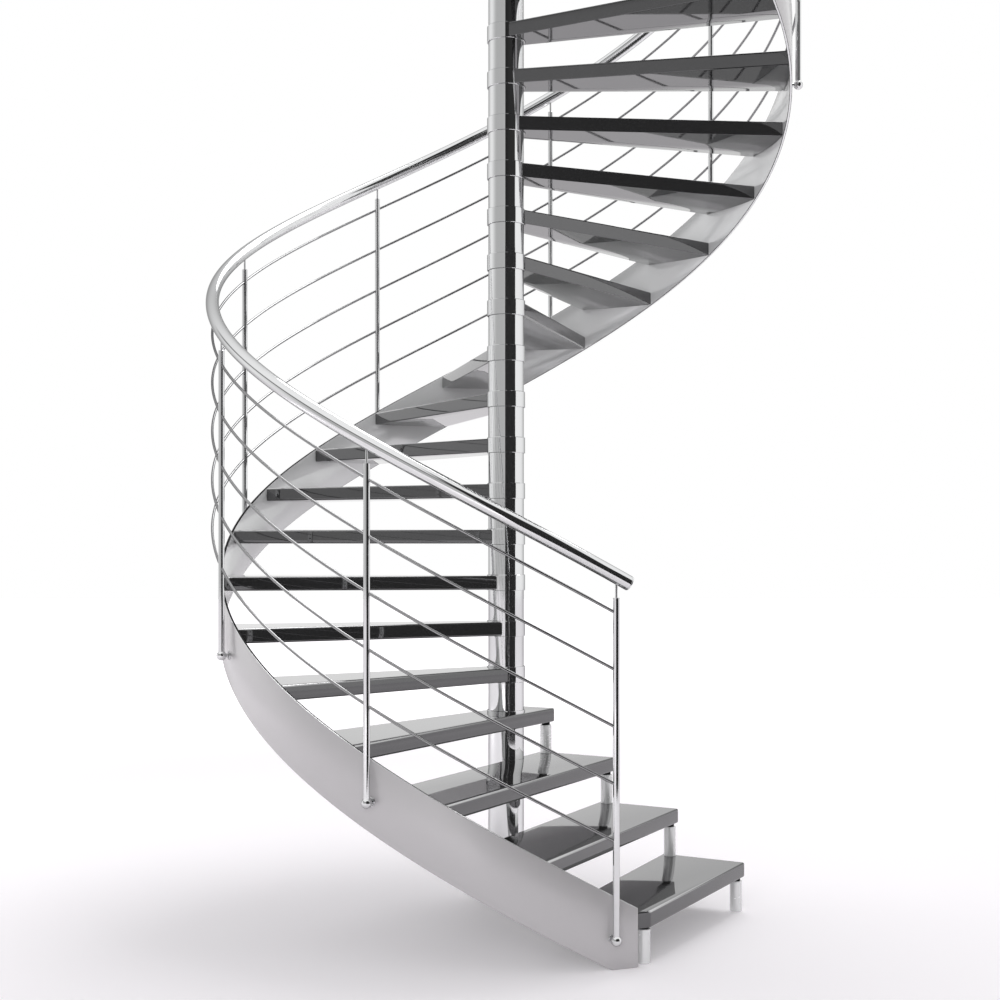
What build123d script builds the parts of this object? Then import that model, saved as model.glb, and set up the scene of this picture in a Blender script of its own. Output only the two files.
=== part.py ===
from build123d import *
import os
from math import cos, degrees, pi, radians, sin

# Flight: millimetres, +Z up, origin on the floor at the column's axis; it climbs clockwise seen from above
step_count = 20
steps_per_turn = 21
lead_count = 4
riser_height = 180.0
step_angle = 360 / steps_per_turn
turn_rise = riser_height * steps_per_turn
first_nosing_angle = -66.0

# Treads
tread_thickness = 54.0
tread_overlap_depth = 15.0
tread_root_width = 120.0
nosing_radius = 7.0
fit_gap = 0.3
reach_share = 1.2

# Lead-in treads: their inner corners stand on one straight line that leaves the column
lead_corner_offset_x = 900.0
lead_corner_offset_y = -250.0
lead_going_offset_x = -235.0
lead_going_offset_y = 133.0
lead_overlap_depth = 60.0
lead_wrap_depth = 170.0
start_advance_length = 35.0
corner_radius = 24.0

# Column
column_radius = 70.0
column_wall = 6.0
column_rise_height = 120.0
collar_radius = 75.0
collar_lip_height = 4.0
collar_sides = 20
base_radius = 160.0
base_offset_y = 60.0
base_thickness = 12.0
base_hole_radius = 9.0
base_hole_circle_radius = 94.0
base_hole_count = 4
cap_thickness = 10.0
cap_overhang_offset = 3.0
cap_chamfer_length = 4.0

# Legs under the free corners
leg_radius = 22.5
leg_neck_radius = 16.0
leg_neck_height = 12.0
leg_sides = 16
leg_inset_offset = 24.0

# Stringer
stringer_radius = 1110.0
stringer_thickness = 10.0
stringer_depth = 245.0
stringer_setback_length = 61.0
stringer_segments = 4

# Railing
rail_radius = 1140.0
handrail_radius = 25.0
handrail_height = 1040.0
handrail_overhang_length = 47.0
handrail_segments = 4
handrail_sides = 12
post_count = 9
first_post_angle = -72.0
last_post_angle = -406.0
post_radius = 11.0
pin_length = 45.0
post_sides = 12
post_drop_height = 140.0
ball_radius = 18.0
ball_band_share = 0.4
ball_taper_angle = 40.0
stud_radius = 7.0
rosette_radius = 16.0
rosette_thickness = 4.0
pin_radius = 4.0
pin_sides = 6
bar_radius = 5.0
bar_sides = 4
bar_count = 5
bar_first_height = 180.0
bar_top_offset = 50.0
bays_per_node = 4

os.makedirs("parts", exist_ok=True)


# Places on the flight
def nosing_angle(step):
    return first_nosing_angle - step_angle * (step - 1)


def line_height(angle):
    return riser_height * (1 + (first_nosing_angle - angle) / step_angle)


def arc_angle(length, radius):
    return degrees(length / radius)


def polar(radius, angle):
    return Vector(radius * cos(radians(angle)), radius * sin(radians(angle)), 0)


def on_slope(angle, above):
    return polar(rail_radius, angle) + Vector(0, 0, line_height(angle) + above)


def slope_plane(angle, above):
    run = 2 * pi * rail_radius
    along = Vector(run * sin(radians(angle)), -run * cos(radians(angle)), turn_rise)
    return Plane(origin=on_slope(angle, above), x_dir=polar(1, angle), z_dir=along)


def radial_plane(radius, angle, height):
    return Plane(
        origin=polar(radius, angle) + Vector(0, 0, height),
        x_dir=polar(1, angle),
        z_dir=(sin(radians(angle)), -cos(radians(angle)), 0),
    )


def turned_plane(angle, height):
    return Plane(origin=(0, 0, height), x_dir=polar(1, angle), z_dir=(0, 0, 1))


def slope_path(radius, start, end, above):
    wound = Helix(turn_rise, line_height(end) - line_height(start), radius, lefthand=True)
    return turned_plane(start, line_height(start) + above) * wound


def save(piece, name):
    piece.label = name
    export_step(piece, f"parts/{name}.step")


tread_end_radius = stringer_radius - stringer_thickness - fit_gap
start_corner_angle = first_nosing_angle + arc_angle(start_advance_length, stringer_radius)
stringer_start = start_corner_angle - arc_angle(stringer_setback_length, stringer_radius)
stringer_end = nosing_angle(step_count + 1)
flight_top = riser_height * step_count
post_height = handrail_height - handrail_radius - pin_length
bar_spacing = (post_height - bar_top_offset - bar_first_height) / (bar_count - 1)


# Lead-in corners: inner ends on the straight line, outer ends at the stringer, the lowest one a little ahead of it
def lead_inner(step):
    going = Vector(lead_going_offset_x, lead_going_offset_y, 0)
    return Vector(lead_corner_offset_x, lead_corner_offset_y, 0) + going * (step - 1)


def lead_outer(step):
    angle = start_corner_angle if step == 1 else nosing_angle(step)
    return polar(tread_end_radius, angle)


def lead_points(step):
    inner = lead_inner(step)
    outer = lead_outer(step)
    edge = Vector(lead_going_offset_x, lead_going_offset_y, 0).normalized()
    far_outer = inner + (outer - inner) * reach_share
    rear_angle = nosing_angle(step + 1) - arc_angle(tread_overlap_depth, tread_end_radius)
    rear_outer = polar(tread_end_radius, rear_angle)
    if step == lead_count:
        rear_inner = inner + edge * lead_wrap_depth
    else:
        next_inner = lead_inner(step + 1)
        next_outer = lead_outer(step + 1)
        along = (next_inner - next_outer).normalized()
        back = Vector(-along.Y, along.X, 0)
        rear_inner = next_inner + edge * (lead_overlap_depth / edge.dot(back))
    far_rear = rear_inner + (rear_outer - rear_inner) * reach_share
    return [far_outer, inner, rear_inner, far_rear]


def wedge_points(step):
    nosing = nosing_angle(step)
    side = polar(tread_root_width / 2, nosing - step_angle / 2 + 90)
    rear_angle = nosing - step_angle - arc_angle(tread_overlap_depth, tread_end_radius)
    outer = side + (polar(tread_end_radius, nosing) - side) * reach_share
    rear = side * -1 + (polar(tread_end_radius, rear_angle) + side) * reach_share
    return [outer, side, side * -1, rear]


# Treads: the lead-in plates first, then the wedges between collar and stringer
for step in range(1, step_count + 1):
    floor = riser_height * step - tread_thickness
    points = lead_points(step) if step <= lead_count else wedge_points(step)
    end_radius = stringer_radius if step == 1 else tread_end_radius
    column_cut = column_radius + fit_gap if step <= lead_count else collar_radius
    with BuildPart() as tread:
        with BuildSketch(Plane.XY.offset(floor)):
            with BuildLine():
                Polyline(*points, close=True)
            make_face()
            Circle(end_radius, mode=Mode.INTERSECT)
            Circle(column_cut, mode=Mode.SUBTRACT)
        extrude(amount=tread_thickness)
        if step == 1:
            with BuildSketch(turned_plane(stringer_start + arc_angle(fit_gap, stringer_radius), floor)):
                with BuildLine():
                    Polyline((0, 0), (2 * stringer_radius, 0), (0, -2 * stringer_radius), close=True)
                make_face()
                Circle(tread_end_radius, mode=Mode.SUBTRACT)
            extrude(amount=tread_thickness, mode=Mode.SUBTRACT)
            corner = polar(stringer_radius, start_corner_angle) + Vector(0, 0, floor + tread_thickness / 2)
            fillet(tread.edges().filter_by(Axis.Z).sort_by_distance(corner)[0], corner_radius)
        nosing_middle = (points[0] + points[1]) / 2 + Vector(0, 0, riser_height * step)
        fillet(tread.edges().sort_by_distance(nosing_middle)[0], nosing_radius)
    save(tread.part, f"tread_{step:02d}")

# Column: base plate set back from the steps, with bolt holes, tube, collars that carry the wedges, cap
with BuildPart() as base_plate:
    with BuildSketch():
        with Locations((0, base_offset_y)):
            Circle(base_radius)
        with PolarLocations(base_hole_circle_radius, base_hole_count, start_angle=360 / base_hole_count / 2):
            Circle(base_hole_radius, mode=Mode.SUBTRACT)
    extrude(amount=base_thickness)
save(base_plate.part, "base_plate")

column_top = flight_top + column_rise_height
with BuildPart() as column_tube:
    with BuildSketch(Plane.XY.offset(base_thickness)):
        Circle(column_radius)
        Circle(column_radius - column_wall, mode=Mode.SUBTRACT)
    extrude(amount=column_top - base_thickness)
save(column_tube.part, "column_tube")

collar_height = tread_thickness + 2 * collar_lip_height
with BuildPart() as collars:
    for step in range(lead_count + 1, step_count + 1):
        with BuildSketch(Plane.XY.offset(riser_height * step + collar_lip_height - collar_height)):
            RegularPolygon(collar_radius, collar_sides)
            RegularPolygon(column_radius + fit_gap, collar_sides, major_radius=False, mode=Mode.SUBTRACT)
        extrude(amount=collar_height)
save(collars.part, "tread_collars")

with BuildPart() as cap:
    with BuildSketch(Plane.XY.offset(column_top)):
        Circle(column_radius + cap_overhang_offset)
    extrude(amount=cap_thickness)
    chamfer(cap.edges().sort_by(Axis.Z)[-1], cap_chamfer_length)
save(cap.part, "column_cap")


# Legs: a round leg with a narrow neck under each free inner corner, two feet under the lowest tread
def leg_place(step):
    inner = lead_inner(step)
    along = (lead_outer(step) - inner).normalized()
    edge = Vector(lead_going_offset_x, lead_going_offset_y, 0).normalized()
    return inner + (along + edge) * leg_inset_offset


foot_outer = polar(stringer_radius - leg_inset_offset, start_corner_angle)
foot_along = (lead_inner(1) - lead_outer(1)).normalized()
foot_place = foot_outer + Vector(-foot_along.Y, foot_along.X, 0) * leg_inset_offset
leg_sets = [
    ("floor_feet", [(foot_place, 1), (leg_place(1), 1)]),
    ("tread_legs", [(leg_place(step), step) for step in range(2, lead_count + 1)]),
]
for name, places in leg_sets:
    with BuildPart() as legs:
        for place, step in places:
            under = riser_height * step - tread_thickness
            stand = riser_height * (step - 1)
            with BuildSketch(Plane.XY.offset(stand)):
                with Locations(place):
                    RegularPolygon(leg_radius, leg_sides)
            extrude(amount=under - stand - leg_neck_height)
            with BuildSketch(Plane.XY.offset(under - leg_neck_height)):
                with Locations(place):
                    RegularPolygon(leg_neck_radius, leg_sides)
            extrude(amount=leg_neck_height)
    save(legs.part, name)

# Stringer: an upright plate wound along the nosing line, cut level on the floor
stringer_middle = stringer_radius - stringer_thickness / 2
stringer_turn = (stringer_end - stringer_start) / stringer_segments
for index in range(stringer_segments):
    start = stringer_start + stringer_turn * index
    path = slope_path(stringer_middle, start, start + stringer_turn, -stringer_depth / 2)
    with BuildPart() as stringer:
        with BuildSketch(radial_plane(stringer_middle, start, line_height(start) - stringer_depth / 2)):
            Rectangle(stringer_thickness, stringer_depth)
        sweep(path=path, is_frenet=True)
        if index == 0:
            split(bisect_by=Plane.XY, keep=Keep.TOP)
    save(stringer.part, f"stringer_{index + 1}")

# Handrail: a round rail wound above the posts
handrail_start = first_post_angle + arc_angle(handrail_overhang_length, rail_radius)
handrail_end = last_post_angle - arc_angle(handrail_overhang_length, rail_radius)
handrail_turn = (handrail_end - handrail_start) / handrail_segments
for index in range(handrail_segments):
    start = handrail_start + handrail_turn * index
    path = slope_path(rail_radius, start, start + handrail_turn, handrail_height)
    with BuildPart() as handrail:
        with BuildSketch(slope_plane(start, handrail_height)):
            RegularPolygon(handrail_radius, handrail_sides)
        sweep(path=path, is_frenet=True)
    save(handrail.part, f"handrail_{index + 1}")

# Posts: a tube on a ball, held off the stringer by a stud and a rosette, with a pin up to the handrail
post_turn = (last_post_angle - first_post_angle) / (post_count - 1)
post_angles = [first_post_angle + post_turn * index for index in range(post_count)]
stand_off = rail_radius - stringer_radius
bar_tip_angle = arc_angle(post_radius / 2, rail_radius)
with BuildPart() as posts:
    for angle in post_angles:
        centre = on_slope(angle, -post_drop_height)
        foot = Plane(origin=centre, x_dir=polar(1, angle), z_dir=(0, 0, 1))
        inward = Plane(origin=centre, x_dir=(0, 0, 1), z_dir=polar(-1, angle))
        under = Plane(origin=centre, x_dir=polar(1, angle), z_dir=(0, 0, -1))
        with BuildSketch(foot):
            RegularPolygon(ball_radius, post_sides)
        extrude(amount=ball_radius * ball_band_share, both=True)
        for half in (foot, under):
            with BuildSketch(half.offset(ball_radius * ball_band_share)):
                RegularPolygon(ball_radius, post_sides)
            extrude(amount=ball_radius * (1 - ball_band_share), taper=ball_taper_angle)
        with BuildSketch(foot):
            RegularPolygon(post_radius, post_sides)
        extrude(amount=post_height + post_drop_height)
        with BuildSketch(inward):
            RegularPolygon(stud_radius, pin_sides)
        extrude(amount=stand_off)
        with BuildSketch(inward.offset(stand_off - rosette_thickness)):
            RegularPolygon(rosette_radius, post_sides)
        extrude(amount=rosette_thickness)
        with BuildSketch(foot.offset(post_height + post_drop_height)):
            RegularPolygon(pin_radius, pin_sides)
        extrude(amount=handrail_height - post_height)
        with BuildSketch(slope_plane(angle, handrail_height)):
            RegularPolygon(handrail_radius + fit_gap, handrail_sides)
        extrude(amount=handrail_radius, both=True, mode=Mode.SUBTRACT)
save(posts.part, "railing_posts")

# Bars: five in each bay, wound between one post and the next
for first in range(0, post_count - 1, bays_per_node):
    with BuildPart() as bars:
        for bay in range(first, first + bays_per_node):
            low = post_angles[bay] - bar_tip_angle
            high = post_angles[bay + 1] + bar_tip_angle
            for row in range(bar_count):
                above = bar_first_height + bar_spacing * row
                with BuildLine() as bar_path:
                    ThreePointArc(on_slope(low, above), on_slope((low + high) / 2, above), on_slope(high, above))
                with BuildSketch(Plane(origin=bar_path.line @ 0, z_dir=bar_path.line % 0)):
                    RegularPolygon(bar_radius, bar_sides)
                sweep(path=bar_path.line)
        for angle in post_angles[first:first + bays_per_node + 1]:
            with BuildSketch(Plane(origin=on_slope(angle, 0), z_dir=(0, 0, 1))):
                Circle(post_radius + fit_gap)
            extrude(amount=post_height, mode=Mode.SUBTRACT)
    save(bars.part, f"railing_bars_{first // bays_per_node + 1}")
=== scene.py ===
from functools import partial
from math import acos, asin, atan2, cos, pi, radians, sin, sqrt, tan

import bpy
from bpy.props import FloatProperty, FloatVectorProperty, IntProperty, PointerProperty
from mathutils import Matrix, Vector


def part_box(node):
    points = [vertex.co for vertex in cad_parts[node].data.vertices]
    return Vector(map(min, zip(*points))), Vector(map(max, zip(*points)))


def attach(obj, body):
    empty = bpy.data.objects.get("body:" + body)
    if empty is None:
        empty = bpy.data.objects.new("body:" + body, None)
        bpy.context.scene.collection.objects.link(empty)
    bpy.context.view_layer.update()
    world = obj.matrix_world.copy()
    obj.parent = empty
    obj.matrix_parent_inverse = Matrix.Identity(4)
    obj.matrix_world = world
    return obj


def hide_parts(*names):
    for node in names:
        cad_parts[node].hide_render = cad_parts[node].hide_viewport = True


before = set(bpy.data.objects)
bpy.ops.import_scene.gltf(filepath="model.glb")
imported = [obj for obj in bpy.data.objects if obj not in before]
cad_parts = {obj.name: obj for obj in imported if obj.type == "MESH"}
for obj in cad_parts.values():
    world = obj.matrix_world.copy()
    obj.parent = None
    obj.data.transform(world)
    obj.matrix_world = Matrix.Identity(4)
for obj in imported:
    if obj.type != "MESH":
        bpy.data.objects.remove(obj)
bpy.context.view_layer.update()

bl_info = {
    "name": "Spiral Staircase",
    "version": (1, 0, 0),
    "blender": (4, 5, 0),
    "location": "View3D > Sidebar > Staircase",
    "description": "Dresses the packed spiral staircase with polished steel and dark gloss treads",
    "category": "Object",
}


# Fixed details: how smooth the round forms are, and the smallest roundings

CREASE = 35             # degrees; sharper corners stay sharp
COLUMN_SIDES = 128
CAP_SIDES = 96
LEG_SIDES = 64
RAIL_SIDES = 40
POST_SIDES = 40
STUD_SIDES = 32
BAR_SIDES = 14
BALL_STEPS = 16
HELIX_STEPS = 240
STRINGER_STEPS = 360
END_STEPS = 12          # along a tread's outer end
HUB_STEPS = 10          # round a collar
CORNER_STEPS = 8        # round the lowest tread's outer corner
NOTCH_STEPS = 14
HOLE_STEPS = 40
EDGE_STEPS = 4          # across a rounded edge
PAINTED_LIGHT_RINGS = (6, 7, 8)    # middle rings of a tread's upper rounding: painted highlight and shade line
# ring that carries the painted shade line at a nosing's inner end
SHADE_LINE_RING = 7
SHADE_LINE_DEPTH = -0.8      # the painted-light mask where the painted shade line lies
SHADE_LINE_BLACK = -1.6      # share of black in the painted shade line for each unit of the mask
LEG_BANDS = 7           # bands of faces up a leg, of which the neck is one
NECK_BAND = 5
BEAD = 0.0015
ON_AXIS = 1e-7
NEARLY_STRAIGHT = 0.02


# Sizes and finishes that a user would change

def length(name, description, default):
    return FloatProperty(name=name, description=description, default=default, unit="LENGTH", precision=4)


def turn(name, description, default):
    return FloatProperty(name=name, description=description, default=radians(default), unit="ROTATION")


def tint(name, description, default):
    return FloatVectorProperty(
        name=name, description=description, default=default, size=3, subtype="COLOR", min=0, max=1)


def plan_point(name, description, default):
    return FloatVectorProperty(name=name, description=description, default=default, size=2, unit="LENGTH")


class FlightSizes(bpy.types.PropertyGroup):
    """Sizes of the flight: column, treads, legs and stringer"""
    riser: length("Riser", "Height of one step", 0.18)
    steps: IntProperty(name="Steps", description="Treads in the flight", default=20)
    per_turn: IntProperty(name="Steps per turn", description="Treads in a full turn", default=21)
    lead: IntProperty(
        name="Lead-in treads", description="Lowest treads, whose inner ends leave the column", default=4)
    lead_start: plan_point("Lead-in start", "Inner corner of the lowest nosing", (0.9, -0.25))
    lead_going: plan_point("Lead-in going", "From one inner corner to the next one up", (-0.235, 0.133))
    start: turn("First nosing", "Plan angle of the lowest nosing at the stringer", -66)
    thickness: length("Tread thickness", "Thickness of a tread", 0.054)
    nosing: length("Nosing radius", "Rounding of the nosing's upper edge", 0.007)
    edge: length("Edge radius", "Rounding of the treads' other edges", 0.0016)
    overlap: length("Overlap", "How far a tread reaches under the next nosing", 0.015)
    lead_overlap: length("Lead-in overlap", "The same at the inner ends of the lead-in treads", 0.06)
    advance: length("Advance", "How far the lowest nosing runs ahead at the stringer", 0.035)
    setback: length("Setback", "From the lowest tread's corner back to the stringer", 0.061)
    corner: length("Corner radius", "Rounding of the lowest tread's outer corner", 0.024)
    leg_inset: length("Leg inset", "Middle of a leg in from the tread's edges", 0.024)
    wrap: length("Wrap", "Width of the fourth tread behind the column", 0.17)
    root: length("Root width", "Width of a tread at the column's axis", 0.12)
    column: length("Column radius", "Outer radius of the column's tube", 0.07)
    collar: length("Collar radius", "Outer radius of a tread's collar", 0.075)
    lip: length("Collar lip", "Collar above and below its tread", 0.004)
    leg: length("Leg radius", "Radius of the round legs", 0.0225)
    neck: length("Neck radius", "Radius of the neck on a leg", 0.016)
    neck_height: length("Neck height", "Height of the neck on a leg", 0.012)
    plate: length("Stringer plate", "Thickness of the stringer", 0.01)
    outside: length("Stringer radius", "Outer radius of the stringer", 1.11)
    depth: length("Stringer depth", "Upright depth of the stringer", 0.245)
    gap: length("Seat gap", "Gap between pieces that meet", 0.0003)
    bolts: IntProperty(name="Anchors", description="Anchors in the base plate", default=4)
    bolt_circle: length("Anchor circle", "Radius of the circle that the anchors stand on", 0.094)


class RailingSizes(bpy.types.PropertyGroup):
    """Sizes of the railing: handrail, posts and bars"""
    radius: length("Railing radius", "Plan radius of the posts and the handrail", 1.14)
    rail: length("Handrail radius", "Radius of the handrail's tube", 0.025)
    height: length("Handrail height", "Handrail's middle above the nosing line", 1.04)
    overhang: length("Overhang", "Handrail past the first and last post", 0.047)
    posts: IntProperty(name="Posts", description="Posts along the flight", default=9)
    first: turn("First post", "Plan angle of the lowest post", -72)
    last: turn("Last post", "Plan angle of the highest post", -406)
    post: length("Post radius", "Radius of a post's tube", 0.011)
    ball: length("Ball radius", "Radius of the ball at a post's foot", 0.018)
    drop: length("Ball drop", "Ball's middle below the nosing line", 0.14)
    pin: length("Pin length", "Pin between post and handrail", 0.045)
    pin_radius: length("Pin radius", "Radius of that pin", 0.004)
    stud: length("Stud radius", "Radius of the stud that holds a ball off the stringer", 0.007)
    rosette: length("Rosette radius", "Radius of the rosette on the stringer", 0.016)
    rosette_height: length("Rosette height", "Thickness of the rosette", 0.004)
    bars: IntProperty(name="Bars", description="Bars between the posts", default=5)
    bar: length("Bar radius", "Radius of a bar", 0.005)
    bar_low: length("Lowest bar", "Lowest bar above the nosing line", 0.18)
    bar_high: length("Highest bar", "Highest bar above the nosing line", 0.92)


class Finishes(bpy.types.PropertyGroup):
    """Colours of the finishes"""
    polished: tint("Polished steel", "Column, handrail, posts and legs", (0.83, 0.835, 0.84))
    # Painted shade: the bars' polished steel darkened so that they look dark against the white
    bar: tint("Bar steel", "Thin bars of the railing", (0.40, 0.40, 0.405))
    satin: tint("Satin steel", "Stringer and base plate", (0.53, 0.516, 0.528))
    tread: tint("Tread gloss", "Dark gloss of the treads", (0.16, 0.16, 0.163))
    # Painted highlight: a paler colour painted on the nosings' upper rounding
    rim: tint("Nosing rim", "Painted highlight along the nosings", (0.55, 0.55, 0.555))
    # Black of the painted shade lines on the stringer's rims and the nosings, and of the legs' necks
    black: tint("Edge black", "Rims of the stringer and necks of the legs", (0.02, 0.02, 0.021))
    floor: tint("Floor", "Pale studio floor", (0.865, 0.842, 0.87))


def flight():
    return bpy.context.scene.stair_flight


def railing():
    return bpy.context.scene.stair_railing


def finishes():
    return bpy.context.scene.stair_finishes


# Places on the flight

def step_turn():
    return 2 * pi / flight().per_turn


def nosing_angle(step):
    return flight().start - step_turn() * (step - 1)


def line_height(angle):
    return flight().riser * (1 + (flight().start - angle) / step_turn())


def polar(radius, angle):
    return Vector((radius * cos(angle), radius * sin(angle)))


def tread_end():
    return flight().outside - flight().plate - flight().gap


def start_corner():
    return flight().start + flight().advance / flight().outside


def stringer_start():
    return start_corner() - flight().setback / flight().outside


# Mesh code

def new_piece(name, verts, faces, material, flat=(), crease=CREASE):
    """A finished mesh piece at the origin: smooth, with sharp edges kept and the listed faces flat"""
    mesh = bpy.data.meshes.new(name)
    mesh.from_pydata([tuple(v) for v in verts], [], faces)
    mesh.validate()
    mesh.shade_smooth()
    for index in flat:
        mesh.polygons[index].use_smooth = False
    mesh.set_sharp_from_angle(angle=radians(crease))
    mesh.materials.append(material)
    piece = bpy.data.objects.new(name, mesh)
    bpy.context.scene.collection.objects.link(piece)
    return piece


def finish_piece(piece, slot, *nodes):
    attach(piece, "root")
    if nodes:
        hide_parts(*nodes)


def lathe(profile, segments, centre=(0, 0, 0)):
    """Verts and faces of a profile of (radius, height) turned about an upright axis"""
    verts, faces, rings = [], [], []
    for radius, height in profile:
        if radius < ON_AXIS:
            rings.append([len(verts)])
            verts.append((centre[0], centre[1], centre[2] + height))
            continue
        rings.append(list(range(len(verts), len(verts) + segments)))
        for k in range(segments):
            a = 2 * pi * k / segments
            verts.append((centre[0] + radius * cos(a), centre[1] + radius * sin(a), centre[2] + height))
    for low, high in zip(rings, rings[1:]):
        for k in range(segments):
            n = (k + 1) % segments
            if len(low) == 1 and len(high) > 1:
                faces.append((low[0], high[n], high[k]))
            elif len(high) == 1 and len(low) > 1:
                faces.append((low[k], low[n], high[0]))
            elif len(low) > 1:
                faces.append((low[k], low[n], high[n], high[k]))
    return verts, faces


def rounded(radius, low, high, bead, steps=EDGE_STEPS):
    """Profile of a plain turned length with rounded rims"""
    points = [(0, low)]
    for k in range(steps + 1):
        a = pi / 2 * k / steps
        points.append((radius - bead + bead * sin(a), low + bead - bead * cos(a)))
    for k in range(steps + 1):
        a = pi / 2 * k / steps
        points.append((radius - bead + bead * cos(a), high - bead + bead * sin(a)))
    points.append((0, high))
    return points


def bevelled(radius, low, high, inwards, down):
    """Profile of a plain turned length with a bevel at its top"""
    return [(0, low), (radius, low), (radius, high - down), (radius - inwards, high), (0, high)]


def inset(points, shares):
    """The outline moved inwards, each edge by its own distance; points run counter-clockwise"""
    count = len(points)
    moved = []
    for i in range(count):
        a, b, c = points[i - 1], points[i], points[(i + 1) % count]
        d1, d2 = (b - a).normalized(), (c - b).normalized()
        n1, n2 = Vector((-d1.y, d1.x)), Vector((-d2.y, d2.x))
        s1, s2 = shares[i - 1], shares[i]
        cross = d1.x * d2.y - d1.y * d2.x
        p1, p2 = b + n1 * s1, b + n2 * s2
        if abs(cross) < NEARLY_STRAIGHT:
            moved.append((p1 + p2) / 2)
        else:
            gap = p2 - p1
            moved.append(p1 + d1 * ((gap.x * d2.y - gap.y * d2.x) / cross))
    return moved


def skin(rows, ring, open_sides=()):
    """Faces between rows of points that close to rings, and the numbers of the two caps at their ends"""
    faces = []
    for row in range(rows - 1):
        low, high = row * ring, (row + 1) * ring
        for k in range(ring):
            n = (k + 1) % ring
            if k not in open_sides:
                faces.append((low + k, low + n, high + n, high + k))
    last = (rows - 1) * ring
    faces += [tuple(reversed(range(ring))), tuple(range(last, last + ring))]
    return faces, (len(faces) - 2, len(faces) - 1)


def slab(outline, radii, low, high, bead):
    """Verts, faces and the two cap faces of a plate whose upper and lower edges are rounded by each edge's
    radius. An edge without a radius is the slit that leads to a hole and gets no wall."""
    most_below = 0.003
    verts = []
    for upper in (False, True):
        for k in range(EDGE_STEPS, -1, -1) if upper else range(EDGE_STEPS + 1):
            a = pi / 2 * k / EDGE_STEPS
            shift = [(r if upper else min(r, most_below)) * (1 - sin(a)) for r in radii]
            rise = bead * (1 - cos(a))
            height = high - rise if upper else low + rise
            verts += [(*point, height) for point in inset(outline, shift)]
    slit = [k for k, radius in enumerate(radii) if radius == 0]
    faces, caps = skin(2 * (EDGE_STEPS + 1), len(outline), slit)
    return verts, faces, caps


def join(parts):
    """Verts and faces of several meshes as one"""
    verts, faces = [], []
    for more_verts, more_faces in parts:
        faces += [tuple(i + len(verts) for i in face) for face in more_faces]
        verts += more_verts
    return verts, faces


# Node trees

def connect(tree, node, inputs):
    """Set a node's inputs, or link those that are given as another node's output"""
    for key, value in inputs.items():
        if isinstance(value, bpy.types.NodeSocket):
            tree.links.new(value, node.inputs[key])
        else:
            node.inputs[key].default_value = value


def add(tree, kind, inputs, **settings):
    """A new node with its settings and inputs"""
    node = tree.nodes.new(kind)
    for name, value in settings.items():
        setattr(node, name, value)
    connect(tree, node, inputs)
    return node


def math_node(tree, operation, *values):
    return add(tree, "ShaderNodeMath", dict(enumerate(values)), operation=operation).outputs[0]


def soft_step(tree, value, low, high):
    """0 below low, 1 above high"""
    ramp = add(tree, "ShaderNodeMapRange", {"Value": value, "From Min": low, "From Max": high},
               interpolation_type="SMOOTHSTEP")
    return ramp.outputs[0]


def mix_colours(tree, share, first, second):
    return add(tree, "ShaderNodeMix", {"Factor": share, 6: first, 7: second}, data_type="RGBA").outputs[2]


def geometry_tree(name, sockets):
    tree = bpy.data.node_groups.new(name, "GeometryNodeTree")
    tree.interface.new_socket("Geometry", in_out="OUTPUT", socket_type="NodeSocketGeometry")
    for label, kind in sockets:
        tree.interface.new_socket(label, in_out="INPUT", socket_type="NodeSocket" + kind)
    return tree, tree.nodes.new("NodeGroupInput").outputs


def end_tree(tree, last, material):
    """Every tree ends in real geometry with its finish"""
    real = add(tree, "GeometryNodeRealizeInstances", {0: last.outputs[0]})
    dressed = add(tree, "GeometryNodeSetMaterial", {"Geometry": real.outputs[0], "Material": material})
    add(tree, "NodeGroupOutput", {0: dressed.outputs[0]})
    return tree


def grow(name, tree, values):
    """Runs a geometry node tree on an empty piece and keeps the result as a plain mesh"""
    mesh = bpy.data.meshes.new(name)
    piece = bpy.data.objects.new(name, mesh)
    bpy.context.scene.collection.objects.link(piece)
    modifier = piece.modifiers.new(name, "NODES")
    modifier.node_group = tree
    for item in tree.interface.items_tree:
        if item.in_out == "INPUT":
            modifier[item.identifier] = values[item.name]
    depsgraph = bpy.context.evaluated_depsgraph_get()
    result = bpy.data.meshes.new_from_object(piece.evaluated_get(depsgraph))
    if not result.polygons:
        raise RuntimeError(name + " came out empty")
    piece.modifiers.clear()
    piece.data = result
    result.name = name
    result.set_sharp_from_angle(angle=radians(CREASE))
    return piece


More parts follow.
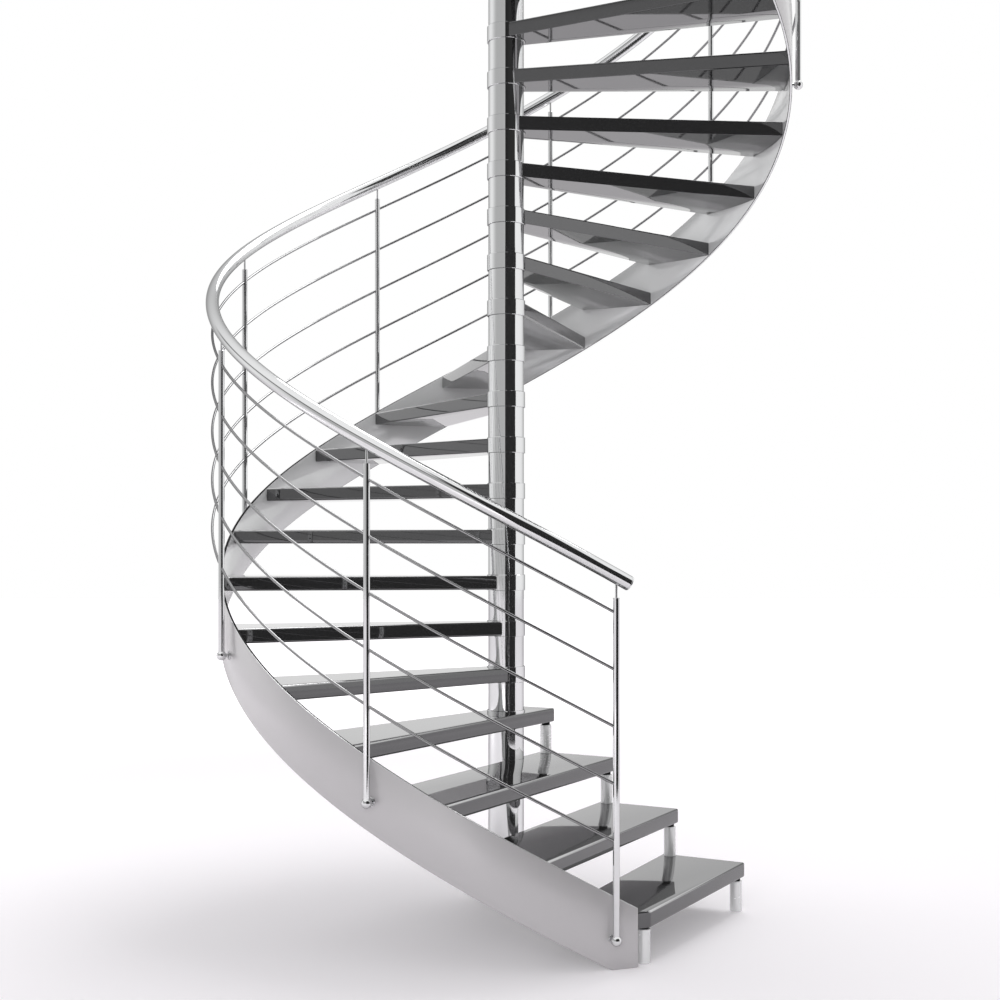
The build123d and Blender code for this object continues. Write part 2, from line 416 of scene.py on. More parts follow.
def wound_tree(material):
    """Round rods wound on the railing's slope: one spiral, repeated upwards, with a round section"""
    tree, sizes = geometry_tree("Wound rods", [
        ("Radius", "Float"), ("Turns", "Float"), ("Rise", "Float"), ("Start", "Float"), ("Level", "Float"),
        ("Count", "Int"), ("Spacing", "Float"), ("Section", "Float"), ("Sides", "Int"), ("Resolution", "Int"),
    ])
    spiral = add(tree, "GeometryNodeCurveSpiral", {
        "Resolution": sizes["Resolution"], "Rotations": sizes["Turns"], "Start Radius": sizes["Radius"],
        "End Radius": sizes["Radius"], "Height": sizes["Rise"], "Reverse": False})
    shift = add(tree, "ShaderNodeCombineXYZ", {"Z": sizes["Level"]})
    spin = add(tree, "ShaderNodeCombineXYZ", {"Z": sizes["Start"]})
    place = add(tree, "GeometryNodeTransform", {
        "Geometry": spiral.outputs[0], "Translation": shift.outputs[0], "Rotation": spin.outputs[0]})
    step = add(tree, "ShaderNodeCombineXYZ", {"Z": sizes["Spacing"]})
    ladder = add(tree, "GeometryNodeMeshLine", {"Count": sizes["Count"], "Offset": step.outputs[0]})
    repeat = add(tree, "GeometryNodeInstanceOnPoints", {
        "Points": ladder.outputs[0], "Instance": place.outputs[0]})
    real = add(tree, "GeometryNodeRealizeInstances", {0: repeat.outputs[0]})
    upright = add(tree, "GeometryNodeSetCurveNormal", {"Curve": real.outputs[0]}, mode="Z_UP")
    ring = add(tree, "GeometryNodeCurvePrimitiveCircle", {
        "Resolution": sizes["Sides"], "Radius": sizes["Section"]})
    sweep = add(tree, "GeometryNodeCurveToMesh", {
        "Curve": upright.outputs[0], "Profile Curve": ring.outputs[0], "Fill Caps": True})
    smooth = add(tree, "GeometryNodeSetShadeSmooth", {"Geometry": sweep.outputs[0]})
    return end_tree(tree, smooth, material)


def spread_tree(name, pattern, material):
    """Copies of one piece along the flight: turned and raised evenly from the first to the last"""
    tree, sizes = geometry_tree(name, [
        ("Count", "Int"), ("Radius", "Float"), ("First", "Float"), ("Turn", "Float"),
        ("Level", "Float"), ("Rise", "Float"),
    ])
    calc = partial(math_node, tree)
    row = add(tree, "GeometryNodeMeshLine", {"Count": sizes["Count"]})
    index = add(tree, "GeometryNodeInputIndex", {}).outputs[0]
    angle = calc("ADD", calc("MULTIPLY", index, sizes["Turn"]), sizes["First"])
    place = add(tree, "ShaderNodeCombineXYZ", {
        "X": calc("MULTIPLY", calc("COSINE", angle), sizes["Radius"]),
        "Y": calc("MULTIPLY", calc("SINE", angle), sizes["Radius"]),
        "Z": calc("ADD", calc("MULTIPLY", index, sizes["Rise"]), sizes["Level"])})
    spot = add(tree, "GeometryNodeSetPosition", {"Geometry": row.outputs[0], "Position": place.outputs[0]})
    spin = add(tree, "ShaderNodeCombineXYZ", {"Z": angle})
    source = add(tree, "GeometryNodeObjectInfo", {"Object": pattern})
    copies = add(tree, "GeometryNodeInstanceOnPoints", {
        "Points": spot.outputs[0], "Instance": source.outputs["Geometry"], "Rotation": spin.outputs[0]})
    return end_tree(tree, copies, material)


def spread(name, pattern, material, values):
    piece = grow(name, spread_tree(name, pattern, material), values)
    bpy.data.objects.remove(pattern)
    return piece


# Finishes

def principled(material):
    return material.node_tree.nodes["Principled BSDF"]


def plain_material(name, inputs):
    material = bpy.data.materials.new(name)
    material.use_nodes = True
    connect(material.node_tree, principled(material), inputs)
    return material


def haze_group():
    """Faint handling marks: cloudy patches and fine scuffs, as one mask"""
    found = bpy.data.node_groups.get("Handling haze")
    if found:
        return found
    group = bpy.data.node_groups.new("Handling haze", "ShaderNodeTree")
    for label, value in (("Cloud Scale", 3.0), ("Scuff Scale", 60.0), ("Scuff Share", 0.3)):
        socket = group.interface.new_socket(label, in_out="INPUT", socket_type="NodeSocketFloat")
        socket.default_value = value
    group.interface.new_socket("Mask", in_out="OUTPUT", socket_type="NodeSocketFloat")
    enter = group.nodes.new("NodeGroupInput").outputs
    place = add(group, "ShaderNodeTexCoord", {}).outputs["Object"]
    cloud = add(group, "ShaderNodeTexNoise", {"Vector": place, "Scale": enter["Cloud Scale"], "Detail": 4})
    scuff = add(group, "ShaderNodeTexNoise", {"Vector": place, "Scale": enter["Scuff Scale"], "Detail": 2})
    mix = add(group, "ShaderNodeMix", {
        "Factor": enter["Scuff Share"], 2: cloud.outputs[0], 3: scuff.outputs[0]})
    add(group, "NodeGroupOutput", {"Mask": mix.outputs[0]})
    return group


def finish_material(name, colour, metallic, gloss, clouds, scuffs, shade, extra=None):
    """A finish: the handling haze moves its gloss between two roughness values and its colour a little"""
    found = bpy.data.materials.get(name)
    if found:
        return found
    material = plain_material(name, {"Metallic": metallic, **(extra or {})})
    tree = material.node_tree
    haze = add(tree, "ShaderNodeGroup", {"Cloud Scale": clouds, "Scuff Scale": scuffs}, node_tree=haze_group())
    mask = haze.outputs["Mask"]
    rough = add(tree, "ShaderNodeMapRange", {
        "Value": mask, "From Min": 0.3, "From Max": 0.7, "To Min": gloss[0], "To Max": gloss[1]})
    marked = [c * shade for c in colour]
    connect(tree, principled(material), {
        "Roughness": rough.outputs["Result"],
        "Base Color": mix_colours(tree, mask, (*colour, 1), (*marked, 1))})
    return material


def polished_steel():
    """Mirror polish that darkens where a round form turns away"""
    return finish_material(
        "polished_steel_finish", finishes().polished, metallic=1.0, gloss=(0.03, 0.09),
        clouds=2.5, scuffs=70, shade=0.94, extra={"Specular Tint": (0.35, 0.35, 0.35, 1)})


def leg_steel():
    """Softer polish, so that the legs stay pale in front of the dark card"""
    return finish_material(
        "leg_steel_finish", finishes().polished, metallic=0.45, gloss=(0.20, 0.30),
        clouds=5.0, scuffs=110, shade=0.94)


def inner_face_painted_light():
    """Pale inner face of the stringer: a paler copy of the plate's steel, a painted reflection of the white
    surround
    """
    return finish_material(
        "inner_face_painted_light_finish", finishes().polished, metallic=0.3, gloss=(0.08, 0.16),
        clouds=3.0, scuffs=80, shade=0.96)


def shade_line_and_neck_black():
    """Matt black that doesn't glare: painted shade lines along the stringer's rims, and the legs' black necks
    """
    return finish_material(
        "shade_line_and_neck_black_finish", finishes().black, metallic=0.0, gloss=(0.6, 0.75),
        clouds=5.0, scuffs=120, shade=0.8, extra={"Specular IOR Level": 0.05})


def painted_shade_bar_steel():
    """Greyer polish for the thin bars, dark along their sides; the grey is painted shade on polished steel"""
    return finish_material(
        "painted_shade_bar_steel_finish", finishes().bar, metallic=1.0, gloss=(0.05, 0.10),
        clouds=4.0, scuffs=90, shade=0.9, extra={"Specular Tint": (0.2, 0.2, 0.2, 1)})


def plate_steel():
    """Duller satin for the base plate and its anchors"""
    return finish_material(
        "plate_steel_finish", finishes().satin, metallic=1.0, gloss=(0.30, 0.42),
        clouds=6.0, scuffs=120, shade=0.9)


def tread_gloss():
    """Dark gloss; the mask on a tread's mesh paints a highlight on its nosing above 0 and a dark shade line
    below 0
    """
    found = bpy.data.materials.get("tread_gloss_finish")
    if found:
        return found
    material = finish_material(
        "tread_gloss_finish", finishes().tread, metallic=0.85, gloss=(0.015, 0.05),
        clouds=2.2, scuffs=45, shade=0.85)
    tree, shader = material.node_tree, principled(material)
    dark = shader.inputs["Base Color"].links[0].from_socket
    # painted highlight and painted shade line on the nosing, from the mesh's mask
    painted_nosing_light = add(tree, "ShaderNodeAttribute", {}, attribute_name="painted_nosing_light").outputs["Fac"]
    highlit = mix_colours(tree, painted_nosing_light, dark, (*finishes().rim, 1))
    shade_line = math_node(tree, "MULTIPLY", painted_nosing_light, SHADE_LINE_BLACK)
    connect(tree, shader, {"Base Color": mix_colours(tree, shade_line, highlit, (*finishes().black, 1))})
    return material


def satin_steel():
    """Brushed plate under a clear coat: fine grain along the stringer on its own UV map, over a soft haze"""
    found = bpy.data.materials.get("satin_steel_finish")
    if found:
        return found
    material = finish_material(
        "satin_steel_finish", finishes().satin, metallic=0.4, gloss=(0.34, 0.44),
        clouds=1.2, scuffs=30, shade=0.95, extra={"Coat Weight": 1.0, "Coat Roughness": 0.2})
    tree = material.node_tree
    place = add(tree, "ShaderNodeUVMap", {}, uv_map="grain")
    stretch = add(tree, "ShaderNodeMapping", {"Vector": place.outputs[0], "Scale": (1.5, 420, 1)})
    grain = add(tree, "ShaderNodeTexNoise", {"Vector": stretch.outputs[0], "Scale": 1.0, "Detail": 3})
    bump = add(tree, "ShaderNodeBump", {"Height": grain.outputs[0], "Strength": 0.06, "Distance": 0.001})
    connect(tree, principled(material), {"Normal": bump.outputs[0]})
    return material


# Tread outlines, counter-clockwise in plan, with a rounding for each edge

def arc(radius, start, end, count):
    return [polar(radius, start + (end - start) * k / count) for k in range(count + 1)]


def on_circle(start, end, radius):
    """Where the line from start to end leaves the circle about the column's axis"""
    run = (end - start).normalized()
    half = start.dot(run)
    return start + run * (-half + sqrt(half * half - start.dot(start) + radius * radius))


def lead_corner(step):
    return Vector(flight().lead_start) + Vector(flight().lead_going) * (step - 1)


def lead_end(step):
    return polar(tread_end(), start_corner() if step == 1 else nosing_angle(step))


def wedge_outline(step):
    """A tread between its collar and the stringer"""
    size = flight()
    nosing = nosing_angle(step)
    rear = nosing - step_turn() - size.overlap / tread_end()
    side = polar(size.root / 2, nosing - step_turn() / 2 + pi / 2)
    hub = size.collar + size.gap
    nose_in = on_circle(side, polar(tread_end(), nosing), hub)
    rear_in = on_circle(side * -1, polar(tread_end(), rear), hub)
    low, high = atan2(nose_in.y, nose_in.x), atan2(rear_in.y, rear_in.x)
    span = (low - high) % (2 * pi)
    outer = arc(tread_end(), rear, nosing, END_STEPS)
    inner = arc(hub, low, low - span, HUB_STEPS)
    outline = outer + inner
    radii = [size.edge] * len(outline)
    radii[len(outer) - 1] = size.nosing
    return outline, radii


def lead_outline(step):
    """A lead-in tread, whose inner end leaves the column"""
    size = flight()
    inner = lead_corner(step)
    edge = Vector(size.lead_going).normalized()
    outer = lead_end(step)
    rear_out = polar(tread_end(), nosing_angle(step + 1) - size.overlap / tread_end())
    if step == size.lead:
        rear_in = inner + edge * size.wrap
    else:
        along = (lead_corner(step + 1) - lead_end(step + 1)).normalized()
        back = Vector((-along.y, along.x))
        rear_in = lead_corner(step + 1) + edge * (size.lead_overlap / edge.dot(back))
    rear_angle = atan2(rear_out.y, rear_out.x)
    sweep = (nosing_angle(step) - rear_angle) % (2 * pi)
    if step == 1:
        outline = arc(tread_end(), rear_angle, stringer_start() + size.gap, END_STEPS)
        corner = on_circle(inner, outer, size.outside)
        outline.append(polar(size.outside, stringer_start() + size.gap))
        outline += round_corner(outline[-1], corner, inner, size.corner)
    else:
        outline = arc(tread_end(), rear_angle, rear_angle + sweep, END_STEPS)
    nosing_at = len(outline) - 1
    outline += [inner, rear_in]
    if step == size.lead - 1:
        outline += column_notch(rear_in, rear_out)
    radii = [size.edge] * len(outline)
    radii[nosing_at] = size.nosing
    if step == 1:
        for k in range(CORNER_STEPS):
            share = (k + 1) / (CORNER_STEPS + 1)
            radii[nosing_at - CORNER_STEPS + k] = size.edge + (size.nosing - size.edge) * share
    if step == size.lead:
        slit_at = len(outline)
        outline += column_hole(rear_in, rear_out)
        radii += [size.edge] * (len(outline) - len(radii))
        radii[slit_at] = radii[-2] = 0
    return outline, radii


def column_hole(rear_in, rear_out):
    """A slit from the fourth tread's rear edge to the hole for the column, and round it"""
    radius = flight().column + flight().gap
    run = (rear_out - rear_in).normalized()
    foot = rear_in - run * rear_in.dot(run)
    start = atan2(foot.y, foot.x)
    return [foot, *arc(radius, start, start - 2 * pi, HOLE_STEPS), foot.copy()]


def round_corner(before, corner, after, radius):
    """Points round the corner between the one before and the one after it"""
    a, b = (before - corner).normalized(), (after - corner).normalized()
    half = acos(max(-1, min(1, a.dot(b)))) / 2
    reach = radius / tan(half)
    middle = corner + (a + b).normalized() * (radius / sin(half))
    first, last = corner + a * reach - middle, corner + b * reach - middle
    start, end = atan2(first.y, first.x), atan2(last.y, last.x)
    span = (end - start + pi) % (2 * pi) - pi
    return [middle + point for point in arc(radius, start, start + span, CORNER_STEPS)]


def column_notch(rear_in, rear_out):
    """The third tread's rear edge goes round the column"""
    radius = flight().column + flight().gap
    run = (rear_out - rear_in).normalized()
    half = rear_in.dot(run)
    root = sqrt(half * half - rear_in.dot(rear_in) + radius * radius)
    first, last = rear_in + run * (-half - root), rear_in + run * (-half + root)
    start, end = atan2(first.y, first.x), atan2(last.y, last.x)
    span = (end - start) % (2 * pi)
    if span > pi:
        span -= 2 * pi
    return arc(radius, start, start + span, NOTCH_STEPS)


class STAIR_OT_treads(bpy.types.Operator):
    """Make the treads: dark gloss plates with a rounded nosing"""
    bl_idname = "stair.treads"
    bl_label = "Treads"

    def execute(self, context):
        size = flight()
        for step in range(1, size.steps + 1):
            outline, radii = lead_outline(step) if step <= size.lead else wedge_outline(step)
            top = size.riser * step
            verts, faces, caps = slab(outline, radii, top - size.thickness, top, size.nosing)
            name = f"tread_{step:02d}"
            piece = new_piece(name + "_gloss", verts, faces, tread_gloss(), caps, crease=30)
            self.paint_nosing_light(piece, radii)
            finish_piece(piece, "tread_gloss", name)
        return {"FINISHED"}

    def paint_nosing_light(self, piece, radii):
        """Painted highlight on the nosing's rounding at the stringer, fading to a painted shade line at its
        inner end
        """
        size = flight()
        painted_nosing_light = piece.data.attributes.new("painted_nosing_light", "FLOAT", "POINT")
        for index, mark in enumerate(painted_nosing_light.data):
            ring, corner = divmod(index, len(radii))
            wide = max(radii[corner], radii[corner - 1])
            if ring not in PAINTED_LIGHT_RINGS or wide <= size.edge:
                continue
            if radii[corner - 1] > radii[corner]:
                mark.value = SHADE_LINE_DEPTH if ring == SHADE_LINE_RING else 0.0
            else:
                mark.value = (wide - size.edge) / (size.nosing - size.edge)


class STAIR_OT_column(bpy.types.Operator):
    """Make the column's tube with its cap, the collars that carry the treads and the lowest trim ring"""
    bl_idname = "stair.column"
    bl_label = "Column"

    def execute(self, context):
        size = flight()
        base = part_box("base_plate")[1].z
        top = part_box("column_tube")[1].z
        tube = lathe([(0, base), (size.column, base), (size.column, top), (0, top)], COLUMN_SIDES)
        finish_piece(new_piece("column_polished", *tube, polished_steel()), "polished_steel", "column_tube")
        low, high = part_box("column_cap")
        cap_bead = 0.003
        cap = lathe(rounded((high.x - low.x) / 2, low.z, high.z, cap_bead), CAP_SIDES)
        finish_piece(new_piece("column_cap_polished", *cap, polished_steel()), "polished_steel", "column_cap")
        half = size.thickness / 2 + size.lip
        rim = size.collar - BEAD
        collar = lathe([
            (size.column, -half), (rim, -half), (size.collar, -half + BEAD), (size.collar, half - BEAD),
            (rim, half), (size.column, half), (size.column, -half)], COLUMN_SIDES)
        pattern = new_piece("collar_pattern", *collar, polished_steel())
        first = size.lead + 1
        collars = spread("tread_collars_polished", pattern, polished_steel(), {
            "Count": size.steps - size.lead, "Radius": 0.0, "First": 0.0, "Turn": 0.0,
            "Level": size.riser * first - size.thickness / 2, "Rise": size.riser})
        finish_piece(collars, "polished_steel", "tread_collars")
        seat = size.riser * size.lead
        trim_height = 0.0115
        trim = seat + trim_height
        ring = lathe([
            (size.column, seat), (size.collar, seat), (size.collar, trim - BEAD), (rim, trim),
            (size.column, trim), (size.column, seat)], COLUMN_SIDES)
        finish_piece(new_piece("column_trim_ring", *ring, polished_steel()), "polished_steel")
        return {"FINISHED"}


class STAIR_OT_base(bpy.types.Operator):
    """Make the base plate and the anchors that bolt it down"""
    bl_idname = "stair.base"
    bl_label = "Base"

    def execute(self, context):
        size = flight()
        low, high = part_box("base_plate")
        middle = (low + high) / 2
        plate_bead, washer_bead = 0.0018, 0.0006
        profile = rounded((high.x - low.x) / 2, low.z, high.z, plate_bead)
        plate = lathe(profile, COLUMN_SIDES, (middle.x, middle.y, 0))
        finish_piece(new_piece("base_plate_satin", *plate, plate_steel()), "satin_steel", "base_plate")
        washer, washer_top = 0.016, high.z + 0.003
        nut, nut_top = 0.0138, high.z + 0.0145
        thread, thread_top = 0.008, high.z + 0.0235
        verts, faces = join((
            lathe(rounded(washer, high.z, washer_top, washer_bead, steps=2), segments=32),
            lathe(bevelled(nut, washer_top, nut_top, inwards=0.002, down=0.002), segments=6),
            lathe(bevelled(thread, nut_top, thread_top, inwards=0.0012, down=0.0015), segments=24),
        ))
        pattern = new_piece("anchor_pattern", verts, faces, plate_steel(), crease=25)
        turn_between = 2 * pi / size.bolts
        bolts = spread("base_anchors", pattern, plate_steel(), {
            "Count": size.bolts, "Radius": size.bolt_circle, "First": turn_between / 2, "Turn": turn_between,
            "Level": 0.0, "Rise": 0.0})
        finish_piece(bolts, "satin_steel")
        return {"FINISHED"}


class STAIR_OT_legs(bpy.types.Operator):
    """Make the round legs with narrow black necks under the free corners of the lowest treads"""
    bl_idname = "stair.legs"
    bl_label = "Legs"

    def execute(self, context):
        size = flight()
        inset_by = size.leg_inset
        edge = Vector(size.lead_going).normalized()
        places = []
        for step in range(1, size.lead + 1):
            inner = lead_corner(step)
            along = (lead_end(step) - inner).normalized()
            places.append((inner + (along + edge) * inset_by, step))
        along = (lead_corner(1) - lead_end(1)).normalized()
        outer = polar(size.outside - inset_by, start_corner()) + Vector((-along.y, along.x)) * inset_by
        for name, group in (("floor_feet", [(outer, 1), places[0]]), ("tread_legs", places[1:])):
            verts, faces = join(self.leg(place, step) for place, step in group)
            piece = new_piece(name + "_polished", verts, faces, leg_steel())
            piece.data.materials.append(shade_line_and_neck_black())
            for face in piece.data.polygons:
                band = face.index // LEG_SIDES % LEG_BANDS
                face.material_index = int(band == NECK_BAND)
            finish_piece(piece, "polished_steel", name)
        return {"FINISHED"}

    def leg(self, place, step):
        size = flight()
        bead = 0.0012
        low, high = size.riser * (step - 1), size.riser * step - size.thickness
        shoulder = high - size.neck_height
        profile = [(0, low), (size.leg - bead, low), (size.leg, low + bead), (size.leg, shoulder - bead),
                   (size.leg - bead, shoulder), (size.neck, shoulder), (size.neck, high), (0, high)]
        return lathe(profile, LEG_SIDES, (place.x, place.y, 0))


class STAIR_OT_stringer(bpy.types.Operator):
    """Make the stringer: an upright satin plate wound along the nosings, level on the floor"""
    bl_idname = "stair.stringer"
    bl_label = "Stringer"

    # Finish of each face of the section: lower rim, up the outer side, over the top, down the inner side
    # The black faces are painted shade lines along the stringer's rims and over its top
    satin, polished, black, pale = range(4)
    # The pale inner face is a painted reflection, lighter than the plate's satin
    round_the_section = (
        polished, black, satin, satin, polished, polished, black, black, black, pale, black, black)

    def execute(self, context):
        size = flight()
        start, end = stringer_start(), nosing_angle(size.steps + 1)
        count, ring = STRINGER_STEPS, len(self.round_the_section)
        verts = []
        for k in range(count + 1):
            angle = start + (end - start) * k / count
            verts += [(*polar(r, angle), z) for r, z in self.section(line_height(angle))]
        faces, ends = skin(count + 1, ring)
        piece = new_piece("stringer_satin", verts, faces, satin_steel(), ends, crease=50)
        for finish in (polished_steel(), shade_line_and_neck_black(), inner_face_painted_light()):
            piece.data.materials.append(finish)
        for face in piece.data.polygons[:count * ring]:
            face.material_index = self.round_the_section[face.index % ring]
        grain = piece.data.uv_layers.new(name="grain")
        for loop, spot in zip(piece.data.loops, grain.data):
            place = piece.data.vertices[loop.vertex_index].co
            turned = loop.vertex_index // ring / count * (start - end)
            spot.uv = (turned * size.outside, place.z - line_height(start - turned))
        finish_piece(piece, "satin_steel", *[f"stringer_{i}" for i in range(1, 5)])
        return {"FINISHED"}

    def section(self, high):
        """Points of (radius, height) round the plate, which is cut level on the floor"""
        size = flight()
        inner, outer = size.outside - size.plate, size.outside
        low = max(0.0, high - size.depth)
        bead = 0.002
        soft = bead * 0.3
        return [
            (inner + bead, low), (outer - bead, low), (outer - soft, low + soft), (outer, low + bead),
            (outer, high - bead), (outer - soft, high - soft), (outer - bead, high),
            (inner + bead, high), (inner + soft, high - soft), (inner, high - bead),
            (inner, low + bead), (inner + soft, low + soft)]


class STAIR_OT_handrail(bpy.types.Operator):
    """Make the handrail: a polished round tube wound above the posts, with end caps"""
    bl_idname = "stair.handrail"
    bl_label = "Handrail"

    def execute(self, context):
        size = railing()
        first = size.first + size.overhang / size.radius
        last = size.last - size.overhang / size.radius
        cap_length = 0.0055
        short = cap_length / size.radius
        turns = (first - last - 2 * short) / (2 * pi)
        piece = grow("handrail_polished", wound_tree(polished_steel()), {
            "Radius": size.radius, "Turns": turns,
            "Rise": line_height(last + short) - line_height(first - short),
            "Start": first - short, "Level": line_height(first - short) + size.height,
            "Count": 1, "Spacing": 0.0, "Section": size.rail, "Sides": RAIL_SIDES, "Resolution": HELIX_STEPS})
        finish_piece(piece, "polished_steel", *[f"handrail_{i}" for i in range(1, 5)])
        verts, faces = join((self.end_cap(first, 1), self.end_cap(last, -1)))
        finish_piece(new_piece("handrail_end_caps", verts, faces, polished_steel()), "polished_steel")
        return {"FINISHED"}

    def end_cap(self, angle, way):
        """A cap across the handrail's end, facing down or up the slope"""
        size = railing()
        place = polar(size.radius, angle).to_3d()
        place.z = line_height(angle) + size.height
        slope = flight().riser / step_turn() / size.radius
        out = Vector((-sin(angle), cos(angle), -slope)).normalized() * way
        turned = out.to_track_quat("Z", "Y").to_matrix()
        root, seat, cap_bead = -0.006, -0.0052, 0.0022
        profile = [(0, root), (size.rail - BEAD, root), (size.rail - BEAD, seat),
                   *rounded(size.rail, seat, 0, cap_bead)[1:]]
        verts, faces = lathe(profile, segments=48)
        return [turned @ Vector(v) + place for v in verts], faces


class STAIR_OT_bars(bpy.types.Operator):
    """Make the thin round bars that follow the slope through the posts"""
    bl_idname = "stair.bars"
    bl_label = "Bars"

    def execute(self, context):
        size = railing()
        turns = (size.first - size.last) / (2 * pi)
        piece = grow("railing_bars_steel", wound_tree(painted_shade_bar_steel()), {
            "Radius": size.radius, "Turns": turns, "Rise": line_height(size.last) - line_height(size.first),
            "Start": size.first, "Level": line_height(size.first) + size.bar_low, "Count": size.bars,
            "Spacing": (size.bar_high - size.bar_low) / (size.bars - 1),
            "Section": size.bar, "Sides": BAR_SIDES, "Resolution": HELIX_STEPS})
        finish_piece(piece, "polished_steel", "railing_bars_1", "railing_bars_2")
        return {"FINISHED"}


class STAIR_OT_posts(bpy.types.Operator):
    """Make the posts: a tube on a ball, a stud with a rosette, and a pin up to the handrail"""
    bl_idname = "stair.posts"
    bl_label = "Posts"

    def execute(self, context):
        size = railing()
        verts, faces = join((lathe(self.upright(), POST_SIDES), self.stud()))
        pattern = new_piece("post_pattern", verts, faces, polished_steel())
        between = size.posts - 1
        posts = spread("railing_posts_polished", pattern, polished_steel(), {
            "Count": size.posts, "Radius": size.radius, "First": size.first,
            "Turn": (size.last - size.first) / between, "Level": line_height(size.first) - size.drop,
            "Rise": (line_height(size.last) - line_height(size.first)) / between})
        finish_piece(posts, "polished_steel", "railing_posts")
        return {"FINISHED"}

    def upright(self):
        """Profile of ball, tube and pin; the pin's end is sunk in the handrail"""
        size = railing()
        top = size.drop + size.height - size.rail - size.pin
        sunk = 0.006
        pin_top = top + size.pin + sunk
        joint = sqrt(size.ball ** 2 - size.post ** 2)
        low, high = -pi / 2, asin(joint / size.ball)
        ball = [tuple(point) for point in arc(size.ball, low, high, BALL_STEPS)[1:]]
        return [(0, -size.ball), *ball, (size.post, top - BEAD), (size.post - BEAD, top),
                (size.pin_radius, top), (size.pin_radius, pin_top), (0, pin_top)]

    def stud(self):
        """The stud from the ball's middle in to the rosette on the stringer"""
        size = railing()
        stand = size.radius - flight().outside
        back, bevel = stand - size.rosette_height, 0.0008
        profile = [(0, 0), (size.stud, 0), (size.stud, back), (size.rosette - bevel, back),
                   (size.rosette, back + bevel), (size.rosette, stand), (0, stand)]
        verts, faces = lathe(profile, STUD_SIDES)
        return [(-z, y, x) for x, y, z in verts], faces


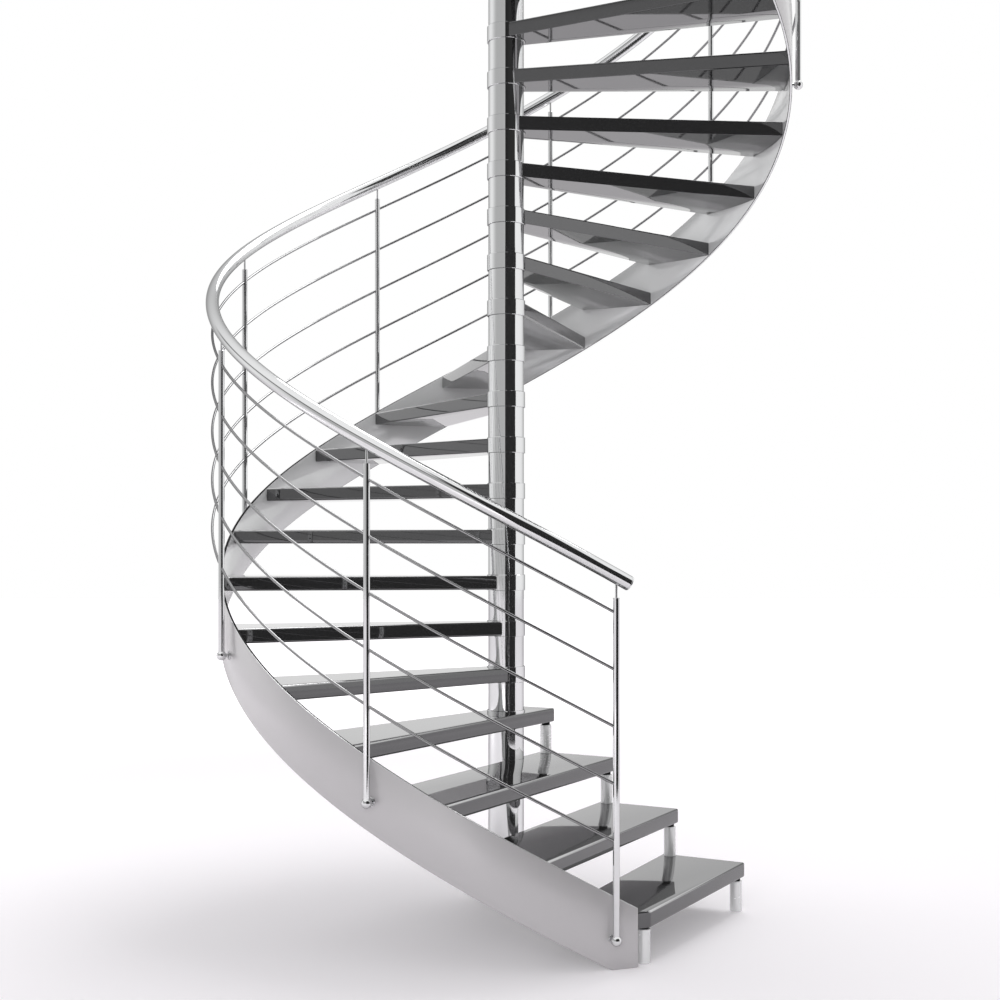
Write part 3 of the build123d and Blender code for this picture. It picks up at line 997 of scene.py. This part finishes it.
class STAIR_OT_stage(bpy.types.Operator):
    """Set the pale floor, the soft studio light and the camera"""
    bl_idname = "stair.stage"
    bl_label = "Stage"

    def execute(self, context):
        scene = context.scene
        scene.view_settings.view_transform = "Standard"
        self.floor()
        self.flag()
        self.surround(scene)
        self.lamps()
        self.camera(scene)
        return {"FINISHED"}

    def stage_piece(self, name, verts, faces, material):
        mesh = bpy.data.meshes.new(name)
        mesh.from_pydata(verts, [], faces)
        mesh.materials.append(material)
        piece = bpy.data.objects.new(name, mesh)
        bpy.context.scene.collection.objects.link(piece)
        return piece

    def floor(self):
        """A pale floor that glows a little for the camera and for reflections, more so far from the stair"""
        material = plain_material("studio_floor", {
            "Base Color": (*finishes().floor, 1), "Roughness": 0.9, "Specular IOR Level": 0.1,
            "Emission Color": (1, 0.975, 1, 1)})
        tree = material.node_tree
        calc = partial(math_node, tree)
        near_reach, far_reach = 3.5, 9.0
        seen_near, seen_more = 0.17, 0.7
        mirrored_near, mirrored_more = 0.1, 0.3
        place = add(tree, "ShaderNodeTexCoord", {})
        reach = add(tree, "ShaderNodeVectorMath", {0: place.outputs["Object"]}, operation="LENGTH")
        far = soft_step(tree, reach.outputs["Value"], near_reach, far_reach)
        seen = calc("ADD", calc("MULTIPLY", far, seen_more), seen_near)
        mirrored = calc("ADD", calc("MULTIPLY", far, mirrored_more), mirrored_near)
        path = add(tree, "ShaderNodeLightPath", {}).outputs
        connect(tree, principled(material), {"Emission Strength": calc(
            "ADD", calc("MULTIPLY", path["Is Camera Ray"], seen),
            calc("MULTIPLY", path["Is Glossy Ray"], mirrored))})
        half = 30.0
        corners = [(-half, -half, 0), (half, -half, 0), (half, half, 0), (-half, half, 0)]
        floor = self.stage_piece("floor", corners, [(0, 1, 2, 3)], material)

    def flag(self):
        """A dark card to the right of the camera that only polished metal shows"""
        material = plain_material("card_black", {
            "Base Color": (0.03, 0.03, 0.03, 1), "Roughness": 1.0, "Specular IOR Level": 0.0})
        reach, low, top, count = 4.5, 0.002, 3.4, 24
        left, right = radians(-96), radians(-29)
        verts = []
        for place in arc(reach, left, right, count):
            verts += [(place.x, place.y, low), (place.x, place.y, top)]
        faces = [(2 * k, 2 * k + 1, 2 * k + 3, 2 * k + 2) for k in range(count)]
        card = self.stage_piece("dark_card", verts, faces, material)
        card.visible_camera = card.visible_diffuse = card.visible_shadow = card.visible_transmission = False

    # Dark bands of the surround that only reflections see: middle, half width and soft edge in degrees to the
    # camera's right, lowest and highest aim as the sine of the elevation, depth of the dark
    dark_bands = (
        (27, 33, 3, -2, 0.78, 0.97),
        (-40, 46, 25, -2, 0.55, 0.5),
        (-62, 62, 8, 0.38, 0.52, 0.75),
    )
    band_edge = 0.05
    world_light = 0.52

    def surround(self, scene):
        """White for the camera, plain grey light on the stair, and white with dark bands for reflections"""
        world = bpy.data.worlds.new("studio")
        scene.world = world
        world.use_nodes = True
        tree = world.node_tree
        calc = partial(math_node, tree)
        place = add(tree, "ShaderNodeTexCoord", {})
        aim = add(tree, "ShaderNodeSeparateXYZ", {0: place.outputs["Generated"]}).outputs
        azimuth = calc("ARCTAN2", aim["X"], calc("MULTIPLY", aim["Y"], -1))
        blur = self.band_edge
        light = 1.0
        for middle, half, edge, low, top, depth in self.dark_bands:
            off_middle = calc("ABSOLUTE", calc("SUBTRACT", azimuth, radians(middle)))
            beside = soft_step(tree, off_middle, radians(half - edge), radians(half + edge))
            above = soft_step(tree, aim["Z"], top - blur, top + blur)
            below = calc("SUBTRACT", 1.0, soft_step(tree, aim["Z"], low - blur, low + blur))
            clear = calc("MAXIMUM", beside, calc("MAXIMUM", above, below))
            light = calc("MULTIPLY", light, calc("ADD", calc("MULTIPLY", clear, depth), 1 - depth))
        path = add(tree, "ShaderNodeLightPath", {}).outputs
        metal_sees = add(tree, "ShaderNodeMix", {
            "Factor": path["Is Glossy Ray"], 2: self.world_light, 3: light})
        camera_sees = add(tree, "ShaderNodeMix", {
            "Factor": path["Is Camera Ray"], 2: metal_sees.outputs[0], 3: 1.0})
        connect(tree, tree.nodes["Background"], {
            "Color": (1, 1, 1, 1), "Strength": camera_sees.outputs[0]})

    def lamps(self):
        for name, place, aim, size, power in (
            ("overhead_soft", (1.5, 3.0, 7.5), (0, 0, 1.0), 4.5, 300),
            ("left_soft", (-6.5, 1.0, 2.0), (0, 0, 1.4), 3.0, 90),
            ("front_fill", (-1.0, -8.0, 2.5), (0, 0, 1.5), 5.0, 240),
        ):
            data = bpy.data.lights.new(name, "AREA")
            data.size = size
            data.energy = power
            lamp = bpy.data.objects.new(name, data)
            lamp.location = place
            lamp.rotation_euler = (Vector(aim) - Vector(place)).to_track_quat("-Z", "Y").to_euler()
            lamp.visible_glossy = name == "overhead_soft"
            bpy.context.scene.collection.objects.link(lamp)

    def camera(self, scene):
        data = bpy.data.cameras.new("photo_camera")
        data.sensor_width = 36
        data.lens = 54.7
        data.shift_y = 0.04
        data.clip_end = 200
        camera = bpy.data.objects.new("photo_camera", data)
        camera.location = (-0.024, -6.0, 1.40)
        camera.rotation_euler = (pi / 2, 0, 0)
        scene.collection.objects.link(camera)
        scene.camera = camera


class STAIR_PT_panel(bpy.types.Panel):
    """Lists the staircase's sizes, finishes and pieces"""
    bl_idname = "STAIR_PT_panel"
    bl_label = "Spiral Staircase"
    bl_space_type = "VIEW_3D"
    bl_region_type = "UI"
    bl_category = "Staircase"

    def draw(self, context):
        for group in (context.scene.stair_flight, context.scene.stair_railing, context.scene.stair_finishes):
            box = self.layout.box()
            for name in group.bl_rna.properties.keys():
                if name not in {"rna_type", "name"}:
                    box.prop(group, name)
        for operator in operators:
            self.layout.operator(operator.bl_idname)


operators = (STAIR_OT_treads, STAIR_OT_column, STAIR_OT_base, STAIR_OT_legs, STAIR_OT_stringer,
             STAIR_OT_handrail, STAIR_OT_bars, STAIR_OT_posts, STAIR_OT_stage)
classes = (FlightSizes, RailingSizes, Finishes, *operators, STAIR_PT_panel)


def register():
    for item in classes:
        bpy.utils.register_class(item)
    bpy.types.Scene.stair_flight = PointerProperty(type=FlightSizes)
    bpy.types.Scene.stair_railing = PointerProperty(type=RailingSizes)
    bpy.types.Scene.stair_finishes = PointerProperty(type=Finishes)


def unregister():
    del bpy.types.Scene.stair_finishes
    del bpy.types.Scene.stair_railing
    del bpy.types.Scene.stair_flight
    for item in reversed(classes):
        bpy.utils.unregister_class(item)


def main():
    register()
    bpy.ops.stair.treads()
    bpy.ops.stair.column()
    bpy.ops.stair.base()
    bpy.ops.stair.legs()
    bpy.ops.stair.stringer()
    bpy.ops.stair.handrail()
    bpy.ops.stair.bars()
    bpy.ops.stair.posts()
    bpy.ops.stair.stage()


if __name__ == "__main__":
    main()
